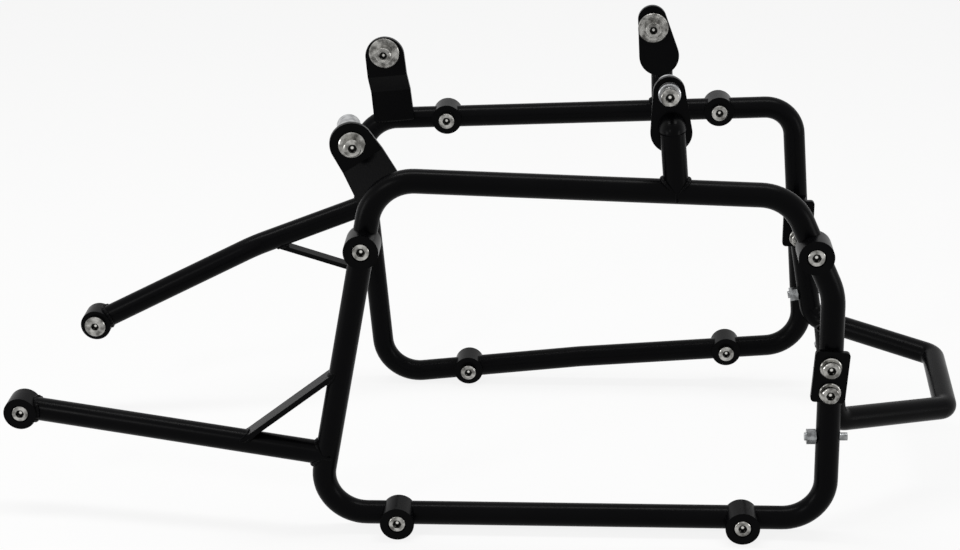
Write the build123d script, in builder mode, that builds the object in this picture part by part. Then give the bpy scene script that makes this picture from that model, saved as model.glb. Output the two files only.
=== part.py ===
"""Pannier frame for a motorbike: two bent-tube side racks joined by a tubular rear crossbar.

Axes: +X towards the rear of the motorbike, +Y towards its right side, +Z up. Millimetres.
The origin lies on the floor under the middle of the frame's box.
"""
import os
from math import cos, radians, sin

from build123d import *

# Tube and plate stock
tube_diameter = 18.0
tube_wall = 2.0
plate_thickness = 4.0
bend_radius = 32.0
tight_bend_radius = 25.0
shoulder_bend_radius = 35.0
wide_bend_radius = 46.0
crossbar_bend_radius = 14.0
arm_bend_radius = 60.0

# Bosses that carry the cases, and the bosses at the front ends of the arms
left_boss_diameter = 26.0
left_boss_length = 24.0
left_boss_reach = 20.0
right_boss_diameter = 25.0
right_boss_length = 23.5
right_boss_reach = 13.0
arm_boss_diameter = 25.5
arm_boss_length = 20.0
left_arm_boss_reach = 14.5
right_arm_boss_reach = 10.0

# Fasteners: low-headed and cap screws of one thread, and the small studs in the rear posts
thread_diameter = 8.0
hole_clearance = 0.5
low_head_diameter = 13.0
low_head_height = 5.0
cap_head_diameter = 13.0
cap_head_height = 8.0
flange_head_diameter = 17.5
flange_head_height = 3.5
key_size = 6.0
key_depth = 2.8
edge_break = 0.6
recess_clearance = 1.0
boss_screw_length = 4.5
tapped_depth = 5.0
shank_proud = 0.5
free_end = 11.5
relief_diameter = 6.4
relief_length = 1.5
nut_width = 13.0
nut_height = 6.5
nut_tip = 1.5
stud_diameter = 6.0
stud_tail = 5.5
stud_nut_width = 10.0
stud_nut_height = 7.0

# Washers, collars and spacers under the mounting screws
small_washer_diameter = 16.0
small_washer_thickness = 1.6
large_washer_diameter = 25.0
large_washer_thickness = 2.5
front_washer_diameter = 19.5
collar_diameter = 16.0
collar_length = 7.0
spacer_diameter = 18.0
front_spacer_length = 44.0
upright_spacer_length = 12.0

# Places of the two racks: the planes of their hoops stand this far apart
track = 280.0
right_nut_reach = tube_diameter / 2 + nut_height + nut_tip
left_plane = -(track + right_nut_reach - left_boss_reach) / 2
right_plane = left_plane + track

# Left hoop: its corners (x, z) before bending, on a level bottom tube whose bosses rest on the floor
floor_height = left_boss_diameter / 2
left_top_front = (-77.9, 281.5)
left_bottom_front = (-128.9, floor_height)
left_bottom_rear = (258.1, floor_height)
left_rear_knee = (255.6, 196.0)
left_top_rear = (221.6, 271.0)
left_low_boss_spacing = 63.0
left_front_boss_drop = 50.0
left_rear_boss_drop = 44.0

# Right hoop: its bottom tube climbs to the rear in two runs, behind a bend that touches the floor
right_floor_boss_x = -26.4
right_floor_boss_lift = 1.05
right_front_slope = 6.1
right_rear_slope = 4.4
right_floor_boss_setback = 74.0
right_front_run = 99.0
right_rear_run = 196.0
right_top_front = (-118.9, 242.5)
right_top_rear = (249.6, 255.5)
right_rear_boss_setback = 67.5
right_top_front_boss_setback = 76.5
right_top_rear_boss_setback = 62.5

# Arms that reach forward to the footrest mounts, and their flat-bar braces
left_arm_rise = 50.0
left_arm_end = (-360.9, 79.8)
left_arm_inset = 40.5
right_arm_drop = 77.0
right_arm_knee = (-205.9, 143.0)
right_arm_knee_inset = 45.0
right_arm_end = (-339.9, 81.9)
right_arm_inset = 69.0
brace_thickness = 4.0
left_brace_width = 17.5
right_brace_width = 10.0
left_brace_rise = 122.8
left_brace_reach = 69.1
right_brace_drop = 142.0
right_brace_reach = 93.8

# Front tabs: flat bars with a round head, folded inboard; the left one is turned a little
tab_head_radius = 16.2
left_tab_head = (-95.7, 301.2)
left_tab_lean = 31.0
left_tab_turn = 8.5
left_tab_length = 46.0
left_tab_foot_width = 38.0
left_tab_fold = 15.0
left_tab_slant = 26.0
left_tab_joggle = 19.0
left_tab_depth = 2.0
right_tab_head = (-92.4, 304.0)
right_tab_lean = 5.5
right_tab_length = 58.5
right_tab_foot_width = 34.0
right_tab_fold = 17.0
right_tab_slant = 16.0
right_tab_joggle = 12.0
right_tab_hole_rise = 3.3

# Uprights: short posts on the top tubes, each with a two-lobed plate on its inboard side.
# The posts rise from the tubes' axes, and the plates' lobes, heads and holes are placed from their tops.
left_upright_x = 139.6
left_upright_top_x = 135.8
left_upright_rise = 44.1252
left_lobe_offset = (-0.5, -3.0)
left_plate_lobe_radius = 15.0
left_head_offset = (-2.7, 27.0)
left_plate_head_radius = 11.4
right_upright_x = 139.9
right_upright_top_x = 137.9
right_upright_rise = 54.37
right_lobe_offset = (-2.3, -4.0)
right_plate_lobe_radius = 16.5
right_head_offset = (-8.6, 27.0)
right_plate_head_radius = 11.8
right_hole_offset = (-7.8, 20.4)

# Clamp plates at the rear posts, two screws each
clamp_width = 25.5
clamp_height = 40.5
clamp_corner = 3.0
clamp_screw_spacing = 20.0
clamp_plate_lift = 2.3
left_clamp_height = 133.0
left_clamp_setback = (-1.4, 0.0)
left_clamp_turn = 3.5
right_clamp_height = 159.0
right_clamp_setback = (-2.0, 0.0)
right_clamp_turn = 0.0

# Crossbar: one tube, with end stems that lap the inboard sides of the rear posts above the clamps' middles
stem_gap = 0.2
left_stem_top_x = 254.1
left_stem_lap = 29.0
left_stem_foot = (264.1, 87.0)
right_stem_top_x = 253.1
right_stem_lap = 21.0
right_stem_foot = (272.1, 71.3)
crossbar_half_width = 50.0
left_crossbar_corner = (359.8, 66.0)
right_crossbar_corner = (365.0, 68.0)

# Studs through the left rear post and the right stem
left_stud_height = 81.5
right_stud_height = 94.8

tube_radius = tube_diameter / 2
hole_diameter = thread_diameter + hole_clearance
recess_diameter = low_head_diameter + recess_clearance
quarter_turn = 90.0


def at(point, y):
    """Place in space of a point (x, z) on the plane at y."""
    return Vector(point[0], y, point[1])


def towards(start, end, distance):
    """Point that lies a distance from start on the line to end."""
    run = Vector(*end) - Vector(*start)
    return tuple(Vector(*start) + run.normalized() * distance)[:len(start)]


def crossing(start, end, height):
    """Point on the line from start to end at a height."""
    share = (height - start[1]) / (end[1] - start[1])
    return (start[0] + share * (end[0] - start[0]), height)


def level(start, end, x):
    """Point on the line from start to end at an x."""
    share = (x - start[0]) / (end[0] - start[0])
    return (x, start[1] + share * (end[1] - start[1]))


def moved(point, offset):
    """Point that lies an offset from another."""
    return (point[0] + offset[0], point[1] + offset[1])


def sloped(start, degrees, run):
    """Point that lies a run from start along a slope."""
    return (start[0] + run * cos(radians(degrees)), start[1] + run * sin(radians(degrees)))


def cut(solid):
    """Takes a solid away from the piece being built."""
    add(solid, mode=Mode.SUBTRACT)


def rod(corners, radii, diameter, closed=False):
    """Solid round bar along straight runs joined by bends."""
    with BuildPart() as bar:
        with BuildLine() as route:
            FilletPolyline(*corners, radius=radii, close=closed)
        with BuildSketch(Plane(origin=route.line @ 0, z_dir=route.line % 0)):
            Circle(diameter / 2)
        sweep()
    return bar.part


def straight_rod(start, end, diameter):
    """Solid round bar from start to end."""
    with BuildPart() as bar:
        with BuildSketch(Plane(origin=start, z_dir=end - start)):
            Circle(diameter / 2)
        extrude(amount=(end - start).length)
    return bar.part


def cross_cylinder(centre, diameter, y_low, y_high):
    """Solid cylinder along Y through a point (x, z)."""
    with BuildPart() as bar:
        with BuildSketch(Plane(origin=at(centre, y_low), x_dir=(1, 0, 0), z_dir=(0, 1, 0))):
            Circle(diameter / 2)
        extrude(amount=y_high - y_low)
    return bar.part


def stud_plane(foot, top, height, y):
    """Plane on the axis of a post or stem at a height, facing forward and square to it."""
    upward = at(top, y) - at(foot, y)
    centre = at(crossing(foot, top, height), y)
    return Plane(origin=centre, x_dir=(0, 1, 0), z_dir=upward.cross(Vector(0, 1, 0)))


def stud_bar(square):
    """Stud through a post or stem, with a tip in front of its nut and a tail behind."""
    tip = square.offset(tube_radius + stud_nut_height + nut_tip).origin
    tail = square.offset(-tube_radius - stud_tail).origin
    return straight_rod(tail, tip, stud_diameter)


def rings(centres, y_low, length, outer_diameter):
    """Washers, collars or spacers along Y, each bored for the screw, with broken outer edges."""
    with BuildPart() as group:
        for centre in centres:
            face = Plane(origin=at(centre, y_low), x_dir=(1, 0, 0), z_dir=(0, 1, 0))
            with BuildSketch(face):
                Circle(outer_diameter / 2)
                Circle(hole_diameter / 2, mode=Mode.SUBTRACT)
            extrude(amount=length)
        circles = group.edges().filter_by(GeomType.CIRCLE)
        rims = [edge for edge in circles if edge.radius > hole_diameter / 2 + edge_break]
        chamfer(rims, edge_break)
    return group.part


def screws(centres, seat_y, head_diameter, head_height, grip, free=0.0):
    """Socket screws along +Y: a turned head below the seat, a shank above it, and a hexagon socket.

    A screw that reaches out of the frame has a relief groove between its grip and its free end.
    """
    head = head_diameter / 2
    shank = thread_diameter / 2
    relief = relief_diameter / 2
    thread = grip + relief_length
    groove = [(shank, grip), (relief, grip), (relief, thread), (shank, thread)]
    length = grip + free
    with BuildPart() as group:
        for centre in centres:
            seat = at(centre, seat_y)
            with BuildSketch(Plane(origin=seat, x_dir=(1, 0, 0), z_dir=(0, 0, 1))):
                with BuildLine():
                    Polyline(
                        (0, -head_height),
                        (head - edge_break, -head_height),
                        (head, -head_height + edge_break),
                        (head, 0),
                        (shank, 0),
                        *(groove if free else []),
                        (shank, length - edge_break),
                        (shank - edge_break, length),
                        (0, length),
                        close=True,
                    )
                make_face()
            revolve(axis=Axis(seat, (0, 1, 0)))
            crown = Plane(origin=seat - Vector(0, head_height, 0), x_dir=(1, 0, 0), z_dir=(0, 1, 0))
            with BuildSketch(crown):
                RegularPolygon(key_size / 2, 6, major_radius=False)
            extrude(amount=key_depth, mode=Mode.SUBTRACT)
    return group.part


def nut(face, width, height, bore):
    """Hexagon nut on a plane, bored for its thread."""
    with BuildPart() as hexagon:
        with BuildSketch(face):
            RegularPolygon(width / 2, 6, major_radius=False)
            Circle(bore / 2, mode=Mode.SUBTRACT)
        extrude(amount=height)
    return hexagon.part


def lobed_plate(lobe, lobe_radius, head, head_radius, hole, y_low):
    """Flat plate round two circles and the tangents between them, with one screw hole."""
    with BuildPart() as plate:
        face = Plane(origin=(0, y_low + plate_thickness, 0), x_dir=(1, 0, 0), z_dir=(0, -1, 0))
        with BuildSketch(face):
            with Locations(lobe):
                Circle(lobe_radius)
            with Locations(head):
                Circle(head_radius)
            make_hull()
            with Locations(hole):
                Circle(hole_diameter / 2, mode=Mode.SUBTRACT)
        extrude(amount=plate_thickness)
    return plate.part


def joggled_tab(head, lean, length, foot_width, fold, slant, near, far, wall, hole_rise=0.0):
    """Flat bar that stands at y near, slants to y far and ends in a round, holed head.

    The outline seen from the side of the frame is cut from a folded strip, its wall beyond near and far.
    """
    along = Vector(sin(radians(lean)), 0, -cos(radians(lean)))
    front = Plane(origin=at(head, 0), x_dir=along, z_dir=(0, -1, 0))
    with BuildPart() as tab:
        edge = Plane(origin=at(head, 0), x_dir=along, z_dir=along.cross(Vector(0, 1, 0)))
        with BuildSketch(edge):
            with BuildLine():
                Polyline(
                    (-tab_head_radius, far),
                    (fold, far),
                    (fold + slant, near),
                    (length, near),
                    (length, near + wall),
                    (fold + slant, near + wall),
                    (fold, far + wall),
                    (-tab_head_radius, far + wall),
                    close=True,
                )
            make_face()
        extrude(amount=foot_width, both=True)
        with BuildSketch(front):
            Circle(tab_head_radius)
            with Locations((length, 0)):
                Rectangle(edge_break, foot_width, align=(Align.MAX, Align.CENTER))
            make_hull()
            with Locations((-hole_rise, 0)):
                Circle(hole_diameter / 2, mode=Mode.SUBTRACT)
        extrude(amount=track, both=True, mode=Mode.INTERSECT)
    return tab.part


def brace(start, end, width):
    """Flat bar from start to end, its width across the frame."""
    ahead = (end - start).normalized()
    across = Vector(0, 1, 0) - ahead * ahead.Y
    with BuildPart() as bar:
        with BuildSketch(Plane(origin=start, x_dir=across.normalized(), z_dir=ahead)):
            Rectangle(width, brace_thickness)
        extrude(amount=(end - start).length)
    return bar.part


os.makedirs("parts", exist_ok=True)


def save(solid, label):
    """Names a finished piece and writes it to its own file."""
    solid.label = label
    export_step(solid, f"parts/{label}.step")


# Corners and boss places of the left hoop
left_corners = [left_top_front, left_bottom_front, left_bottom_rear, left_rear_knee, left_top_rear]
left_radii = [shoulder_bend_radius, bend_radius, bend_radius, wide_bend_radius, shoulder_bend_radius]
left_bosses = [
    towards(left_bottom_front, left_bottom_rear, left_low_boss_spacing),
    towards(left_bottom_rear, left_bottom_front, left_low_boss_spacing),
    towards(left_top_front, left_bottom_front, left_front_boss_drop),
    towards(left_top_rear, left_rear_knee, left_rear_boss_drop),
]

# Corners and boss places of the right hoop
right_floor_boss = (right_floor_boss_x, right_boss_diameter / 2 + right_floor_boss_lift)
right_bottom_front = sloped(right_floor_boss, right_front_slope, -right_floor_boss_setback)
right_bottom_knee = sloped(right_floor_boss, right_front_slope, right_front_run)
right_bottom_rear = sloped(right_bottom_knee, right_rear_slope, right_rear_run)
right_corners = [right_top_front, right_bottom_front, right_bottom_knee, right_bottom_rear, right_top_rear]
right_radii = [bend_radius, bend_radius, arm_bend_radius, bend_radius, tight_bend_radius]
right_bosses = [
    right_floor_boss,
    towards(right_bottom_rear, right_bottom_knee, right_rear_boss_setback),
    towards(right_top_front, right_top_rear, right_top_front_boss_setback),
    towards(right_top_rear, right_top_front, right_top_rear_boss_setback),
]

# Clamp screws of the two rear posts
left_clamp = moved(crossing(left_bottom_rear, left_rear_knee, left_clamp_height), left_clamp_setback)
right_clamp = moved(crossing(right_bottom_rear, right_top_rear, right_clamp_height), right_clamp_setback)
screw_rises = (-clamp_screw_spacing / 2, clamp_screw_spacing / 2)
left_clamp_screws = [
    moved(crossing(left_bottom_rear, left_rear_knee, left_clamp_height + rise), left_clamp_setback)
    for rise in screw_rises
]
right_clamp_screws = [
    moved(crossing(right_bottom_rear, right_top_rear, right_clamp_height + rise), right_clamp_setback)
    for rise in screw_rises
]

# Crossbar route, from the top of the left stem round to the top of the right stem
left_stem_top = (left_stem_top_x, left_clamp_height + left_stem_lap)
right_stem_top = (right_stem_top_x, right_clamp_height + right_stem_lap)
left_stem_y = left_plane + tube_diameter + stem_gap
right_stem_y = right_plane - tube_diameter - stem_gap
crossbar_route = [
    at(left_stem_top, left_stem_y),
    at(left_stem_foot, left_stem_y),
    at(left_crossbar_corner, -crossbar_half_width),
    at(right_crossbar_corner, crossbar_half_width),
    at(right_stem_foot, right_stem_y),
    at(right_stem_top, right_stem_y),
]

# Planes of the studs: the left one in the rear post, the right one in the stem
left_stud = stud_plane(left_bottom_rear, left_rear_knee, left_stud_height, left_plane)
right_stud = stud_plane(right_stem_foot, right_stem_top, right_stud_height, right_stem_y)

# Solid bars that the tubes, and the pieces welded to them, are cut from
left_bar = rod([at(c, left_plane) for c in left_corners], left_radii, tube_diameter, closed=True)
right_bar = rod([at(c, right_plane) for c in right_corners], right_radii, tube_diameter, closed=True)
bore_diameter = tube_diameter - 2 * tube_wall


with BuildPart() as left_hoop:
    add(left_bar)
    cut(rod([at(c, left_plane) for c in left_corners], left_radii, bore_diameter, closed=True))
    for spot in left_clamp_screws:
        cut(cross_cylinder(spot, hole_diameter, left_plane - tube_diameter, left_plane + tube_diameter))
    cut(stud_bar(left_stud))
save(left_hoop.part, "left_hoop")

with BuildPart() as right_hoop:
    add(right_bar)
    cut(rod([at(c, right_plane) for c in right_corners], right_radii, bore_diameter, closed=True))
    for spot in right_clamp_screws:
        cut(cross_cylinder(spot, hole_diameter, right_plane - tube_diameter, right_plane + tube_diameter))
    for spot in right_bosses:
        cut(cross_cylinder(spot, hole_diameter, right_plane - tube_diameter, right_plane))
save(right_hoop.part, "right_hoop")

# Case bosses: the left ones sit outboard on the tube, the right ones hold the tube in a cross bore
left_boss_face = left_plane - left_boss_reach
left_boss_seat = left_boss_face + low_head_height
with BuildPart() as left_case_bosses:
    for spot in left_bosses:
        add(cross_cylinder(spot, left_boss_diameter, left_boss_face, left_boss_face + left_boss_length))
    cut(left_bar)
    for spot in left_bosses:
        cut(cross_cylinder(spot, recess_diameter, left_boss_face, left_boss_seat))
        cut(cross_cylinder(spot, hole_diameter, left_boss_face, left_boss_seat + tapped_depth))
save(left_case_bosses.part, "left_case_bosses")
save(
    screws(left_bosses, left_boss_seat, low_head_diameter, low_head_height, boss_screw_length),
    "left_case_screws",
)

right_boss_back = right_plane + right_boss_reach
right_boss_face = right_boss_back - right_boss_length
with BuildPart() as right_case_bosses:
    for spot in right_bosses:
        add(cross_cylinder(spot, right_boss_diameter, right_boss_face, right_boss_back))
    cut(right_bar)
    for spot in right_bosses:
        cut(cross_cylinder(spot, hole_diameter, right_boss_face, right_plane))
save(right_case_bosses.part, "right_case_bosses")
save(
    screws(right_bosses, right_boss_face, low_head_diameter, low_head_height, boss_screw_length),
    "right_case_screws",
)

# Left arm: straight, from the front post to its boss
left_arm_root = at(towards(left_bottom_front, left_top_front, left_arm_rise), left_plane)
left_arm_tip = at(left_arm_end, left_plane + left_arm_inset)
left_arm_bar = straight_rod(left_arm_root, left_arm_tip, tube_diameter)
left_arm_face = left_plane + left_arm_inset - left_arm_boss_reach
left_arm_stub = cross_cylinder(
    left_arm_end, arm_boss_diameter, left_arm_face, left_arm_face + arm_boss_length
)
left_arm_cope = cross_cylinder(
    left_arm_end,
    arm_boss_diameter,
    left_arm_face - tube_diameter,
    left_arm_face + arm_boss_length + tube_diameter,
)
with BuildPart() as left_arm:
    add(left_arm_bar)
    cut(straight_rod(left_arm_root, left_arm_tip, bore_diameter))
    cut(left_bar)
    cut(left_arm_cope)
save(left_arm.part, "left_arm")

with BuildPart() as left_arm_boss:
    add(left_arm_stub)
    cut(cross_cylinder(left_arm_end, hole_diameter, left_arm_face, left_arm_face + arm_boss_length))
    cut(cross_cylinder(left_arm_end, recess_diameter, left_arm_face, left_arm_face + low_head_height))
save(left_arm_boss.part, "left_arm_boss")
save(
    screws(
        [left_arm_end],
        left_arm_face + low_head_height,
        low_head_diameter,
        low_head_height,
        arm_boss_length - low_head_height,
    ),
    "left_arm_screw",
)

left_brace_foot = Vector(*towards(tuple(left_arm_root), tuple(left_arm_tip), left_brace_reach))
left_brace_top = at(towards(left_bottom_front, left_top_front, left_brace_rise), left_plane)
with BuildPart() as left_arm_brace:
    add(brace(left_brace_foot, left_brace_top, left_brace_width))
    cut(left_bar)
    cut(left_arm_bar)
save(left_arm_brace.part, "left_arm_brace")

# Right arm: bent once on its way inboard, then down to its boss
right_arm_root = at(towards(right_top_front, right_bottom_front, right_arm_drop), right_plane)
right_arm_route = [
    right_arm_root,
    at(right_arm_knee, right_plane - right_arm_knee_inset),
    at(right_arm_end, right_plane - right_arm_inset),
]
right_arm_bar = rod(right_arm_route, arm_bend_radius, tube_diameter)
right_arm_face = right_plane - right_arm_inset + right_arm_boss_reach - arm_boss_length
right_arm_stub = cross_cylinder(
    right_arm_end, arm_boss_diameter, right_arm_face, right_arm_face + arm_boss_length
)
right_arm_cope = cross_cylinder(
    right_arm_end,
    arm_boss_diameter,
    right_arm_face - tube_diameter,
    right_arm_face + arm_boss_length + tube_diameter,
)
with BuildPart() as right_arm:
    add(right_arm_bar)
    cut(rod(right_arm_route, arm_bend_radius, bore_diameter))
    cut(right_bar)
    cut(right_arm_cope)
save(right_arm.part, "right_arm")

with BuildPart() as right_arm_boss:
    add(right_arm_stub)
    cut(cross_cylinder(right_arm_end, hole_diameter, right_arm_face, right_arm_face + arm_boss_length))
save(right_arm_boss.part, "right_arm_boss")
save(
    screws([right_arm_end], right_arm_face, flange_head_diameter, flange_head_height, arm_boss_length),
    "right_arm_screw",
)

right_brace_top = Vector(*towards(tuple(right_arm_route[0]), tuple(right_arm_route[1]), right_brace_reach))
right_brace_foot = at(towards(right_top_front, right_bottom_front, right_brace_drop), right_plane)
with BuildPart() as right_arm_brace:
    add(brace(right_brace_top, right_brace_foot, right_brace_width))
    cut(right_bar)
    cut(right_arm_bar)
save(right_arm_brace.part, "right_arm_brace")

# Front tabs and their hardware. The left group is built square to the frame, then turned about its head.
left_tab_foot = left_plane + left_tab_depth
left_tab_face = left_tab_foot + left_tab_joggle
left_tab_pivot = Axis(at(left_tab_head, left_tab_face), (0, 0, 1))
with BuildPart() as left_front_tab:
    add(
        joggled_tab(
            left_tab_head,
            left_tab_lean,
            left_tab_length,
            left_tab_foot_width,
            left_tab_fold,
            left_tab_slant,
            left_tab_foot,
            left_tab_face,
            plate_thickness,
        ).rotate(left_tab_pivot, left_tab_turn)
    )
    cut(left_bar)
save(left_front_tab.part.solids().sort_by(SortBy.VOLUME)[-1], "left_front_tab")
left_front_seat = left_tab_face - large_washer_thickness
left_front_washer = rings([left_tab_head], left_front_seat, large_washer_thickness, front_washer_diameter)
save(left_front_washer.rotate(left_tab_pivot, left_tab_turn), "left_front_washer")
left_front_spacer = rings(
    [left_tab_head], left_tab_face + plate_thickness, front_spacer_length, spacer_diameter
)
save(left_front_spacer.rotate(left_tab_pivot, left_tab_turn), "left_front_spacer")
left_front_screw = screws(
    [left_tab_head],
    left_front_seat,
    cap_head_diameter,
    cap_head_height,
    large_washer_thickness + plate_thickness + front_spacer_length + shank_proud,
    free_end,
)
save(left_front_screw.rotate(left_tab_pivot, left_tab_turn), "left_front_screw")

right_tab_foot = right_plane - tube_radius
right_tab_face = right_tab_foot - right_tab_joggle - plate_thickness
save(
    joggled_tab(
        right_tab_head,
        right_tab_lean,
        right_tab_length,
        right_tab_foot_width,
        right_tab_fold,
        right_tab_slant,
        right_tab_foot,
        right_tab_foot - right_tab_joggle,
        -plate_thickness,
        right_tab_hole_rise,
    ),
    "right_front_tab",
)
right_front_seat = right_tab_face - large_washer_thickness
right_tab_hole = sloped(right_tab_head, right_tab_lean + quarter_turn, right_tab_hole_rise)
save(
    rings([right_tab_hole], right_front_seat, large_washer_thickness, large_washer_diameter),
    "right_front_washer",
)
save(
    screws(
        [right_tab_hole],
        right_front_seat,
        cap_head_diameter,
        cap_head_height,
        large_washer_thickness + plate_thickness + shank_proud,
        free_end,
    ),
    "right_front_screw",
)

# Uprights on the top tubes
left_upright_foot = level(left_top_front, left_top_rear, left_upright_x)
left_upright_top = (left_upright_top_x, left_upright_foot[1] + left_upright_rise)
left_post_ends = (at(left_upright_foot, left_plane), at(left_upright_top, left_plane))
with BuildPart() as left_upright_post:
    add(straight_rod(*left_post_ends, tube_diameter))
    cut(straight_rod(*left_post_ends, bore_diameter))
    cut(left_bar)
save(left_upright_post.part, "left_upright_post")

left_plate_hole = moved(left_upright_top, left_head_offset)
left_lobe_face = left_plane + tube_radius
save(
    lobed_plate(
        moved(left_upright_top, left_lobe_offset),
        left_plate_lobe_radius,
        left_plate_hole,
        left_plate_head_radius,
        left_plate_hole,
        left_lobe_face,
    ),
    "left_upright_plate",
)
save(
    rings([left_plate_hole], left_lobe_face - collar_length, collar_length, collar_diameter),
    "left_upright_collar",
)
save(
    rings([left_plate_hole], left_lobe_face + plate_thickness, upright_spacer_length, spacer_diameter),
    "left_upright_spacer",
)
save(
    screws(
        [left_plate_hole],
        left_lobe_face - collar_length,
        cap_head_diameter,
        cap_head_height,
        collar_length + plate_thickness + upright_spacer_length + shank_proud,
        free_end,
    ),
    "left_upright_screw",
)

right_upright_foot = level(right_top_front, right_top_rear, right_upright_x)
right_upright_top = (right_upright_top_x, right_upright_foot[1] + right_upright_rise)
right_post_ends = (at(right_upright_foot, right_plane), at(right_upright_top, right_plane))
with BuildPart() as right_upright_post:
    add(straight_rod(*right_post_ends, tube_diameter))
    cut(straight_rod(*right_post_ends, bore_diameter))
    cut(right_bar)
save(right_upright_post.part, "right_upright_post")

right_plate_hole = moved(right_upright_top, right_hole_offset)
right_lobe_face = right_plane - tube_radius - plate_thickness
save(
    lobed_plate(
        moved(right_upright_top, right_lobe_offset),
        right_plate_lobe_radius,
        moved(right_upright_top, right_head_offset),
        right_plate_head_radius,
        right_plate_hole,
        right_lobe_face,
    ),
    "right_upright_plate",
)
right_upright_seat = right_lobe_face - large_washer_thickness
save(
    rings([right_plate_hole], right_upright_seat, large_washer_thickness, large_washer_diameter),
    "right_upright_washer",
)
save(
    screws(
        [right_plate_hole],
        right_upright_seat,
        cap_head_diameter,
        cap_head_height,
        large_washer_thickness + plate_thickness + shank_proud,
        free_end,
    ),
    "right_upright_screw",
)

# Crossbar, drilled for the clamp screws and the right stud
with BuildPart() as crossbar:
    add(rod(crossbar_route, crossbar_bend_radius, tube_diameter))
    cut(rod(crossbar_route, crossbar_bend_radius, bore_diameter))
    for spot in left_clamp_screws:
        cut(cross_cylinder(spot, hole_diameter, left_stem_y - tube_diameter, left_stem_y + tube_diameter))
    for spot in right_clamp_screws:
        cut(cross_cylinder(spot, hole_diameter, right_stem_y - tube_diameter, right_stem_y + tube_diameter))
    cut(stud_bar(right_stud))
save(crossbar.part, "crossbar")

# Clamps: plate, washers, screws and nuts, the screws going through post and stem
clamp_grip = 2 * tube_diameter + stem_gap
clamp_screw_length = small_washer_thickness + plate_thickness + clamp_grip + nut_height + nut_tip
clamps = {
    "left": (left_clamp, left_clamp_screws, left_clamp_turn, left_plane),
    "right": (right_clamp, right_clamp_screws, right_clamp_turn, right_stem_y),
}
for side, (middle, spots, turn, outer_y) in clamps.items():
    face_y = outer_y - tube_radius - plate_thickness
    tilted = Vector(cos(radians(turn)), 0, -sin(radians(turn)))
    with BuildPart() as clamp_plate:
        centre = moved(middle, (0, clamp_plate_lift))
        with BuildSketch(Plane(origin=at(centre, face_y), x_dir=tilted, z_dir=(0, 1, 0))):
            RectangleRounded(clamp_width, clamp_height, clamp_corner)
        extrude(amount=plate_thickness)
        for spot in spots:
            cut(cross_cylinder(spot, hole_diameter, face_y, face_y + plate_thickness))
    save(clamp_plate.part, f"{side}_clamp_plate")
    seat_y = face_y - small_washer_thickness
    save(rings(spots, seat_y, small_washer_thickness, small_washer_diameter), f"{side}_clamp_washers")
    save(
        screws(spots, seat_y, low_head_diameter, low_head_height, clamp_screw_length),
        f"{side}_clamp_screws",
    )
    with BuildPart() as clamp_nuts:
        for spot in spots:
            seat = Plane(
                origin=at(spot, face_y + plate_thickness + clamp_grip), x_dir=(1, 0, 0), z_dir=(0, 1, 0)
            )
            add(nut(seat, nut_width, nut_height, thread_diameter))
    save(clamp_nuts.part, f"{side}_clamp_nuts")

# Studs, each with a nut in front of its post or stem
for side, square in (("left", left_stud), ("right", right_stud)):
    save(stud_bar(square), f"{side}_stud")
    front = square.offset(tube_radius)
    save(nut(front, stud_nut_width, stud_nut_height, stud_diameter), f"{side}_stud_nut")
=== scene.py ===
"""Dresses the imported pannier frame: finishes, weld beads, screw threads, studio and camera.

Lengths in the classes are millimetres in the part's own frame: +X to the rear of the motorbike,
+Y to its right side, +Z up. Meshes are written in metres, with every object at the origin.
"""
from __future__ import annotations

import logging
from dataclasses import dataclass
from enum import Enum
from math import cos, pi, radians, sin, tau

import bmesh
import bpy
import numpy as np
from mathutils import Matrix, Vector


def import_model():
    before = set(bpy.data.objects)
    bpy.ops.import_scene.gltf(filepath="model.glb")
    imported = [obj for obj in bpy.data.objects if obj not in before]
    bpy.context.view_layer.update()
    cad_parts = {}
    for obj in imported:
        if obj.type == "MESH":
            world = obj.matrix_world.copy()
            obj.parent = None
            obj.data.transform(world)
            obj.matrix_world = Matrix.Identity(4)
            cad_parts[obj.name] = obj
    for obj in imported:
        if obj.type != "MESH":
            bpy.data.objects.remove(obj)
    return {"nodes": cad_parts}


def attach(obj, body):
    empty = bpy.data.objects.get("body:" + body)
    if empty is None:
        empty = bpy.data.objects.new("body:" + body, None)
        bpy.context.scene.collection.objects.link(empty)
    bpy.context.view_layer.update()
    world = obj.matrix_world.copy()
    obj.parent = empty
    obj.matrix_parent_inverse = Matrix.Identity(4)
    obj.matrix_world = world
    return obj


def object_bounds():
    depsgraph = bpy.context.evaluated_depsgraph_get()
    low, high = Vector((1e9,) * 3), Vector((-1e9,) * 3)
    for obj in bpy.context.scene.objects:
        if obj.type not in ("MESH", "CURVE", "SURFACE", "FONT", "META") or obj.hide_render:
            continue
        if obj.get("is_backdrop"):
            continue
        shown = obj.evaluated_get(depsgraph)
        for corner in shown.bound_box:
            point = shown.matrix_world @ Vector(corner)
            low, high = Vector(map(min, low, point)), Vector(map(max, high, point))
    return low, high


MM = 0.001
ROOT = "root"
ACROSS = np.array((0.0, 1.0, 0.0))
UP = np.array((0.0, 0.0, 1.0))
WHITE = "#ffffff"

# Points of a piece that lie closer together than this are merged
MERGE = 0.0005
# Halvings that bring a slide of 65 mm well under the merging distance
HALVINGS = 30
# Values between which most of a noise texture lies
NOISE_LOW, NOISE_HIGH = 0.3, 0.7
# Sockets of a colour Mix node, which shares their names with its other data types
MIX_SHARE, MIX_FIRST, MIX_SECOND, MIX_RESULT = 0, 6, 7, 2

TUBE_RADIUS = 9.0
# Head of the left front tab: x and z of its hole, y of its outboard face, and its turn in degrees
LEFT_TAB_HEAD = (-95.7, 301.2)
LEFT_TAB_FACE = -117.5
LEFT_TAB_TURN = 8.5

log = logging.getLogger("pannier_frame")


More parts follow.
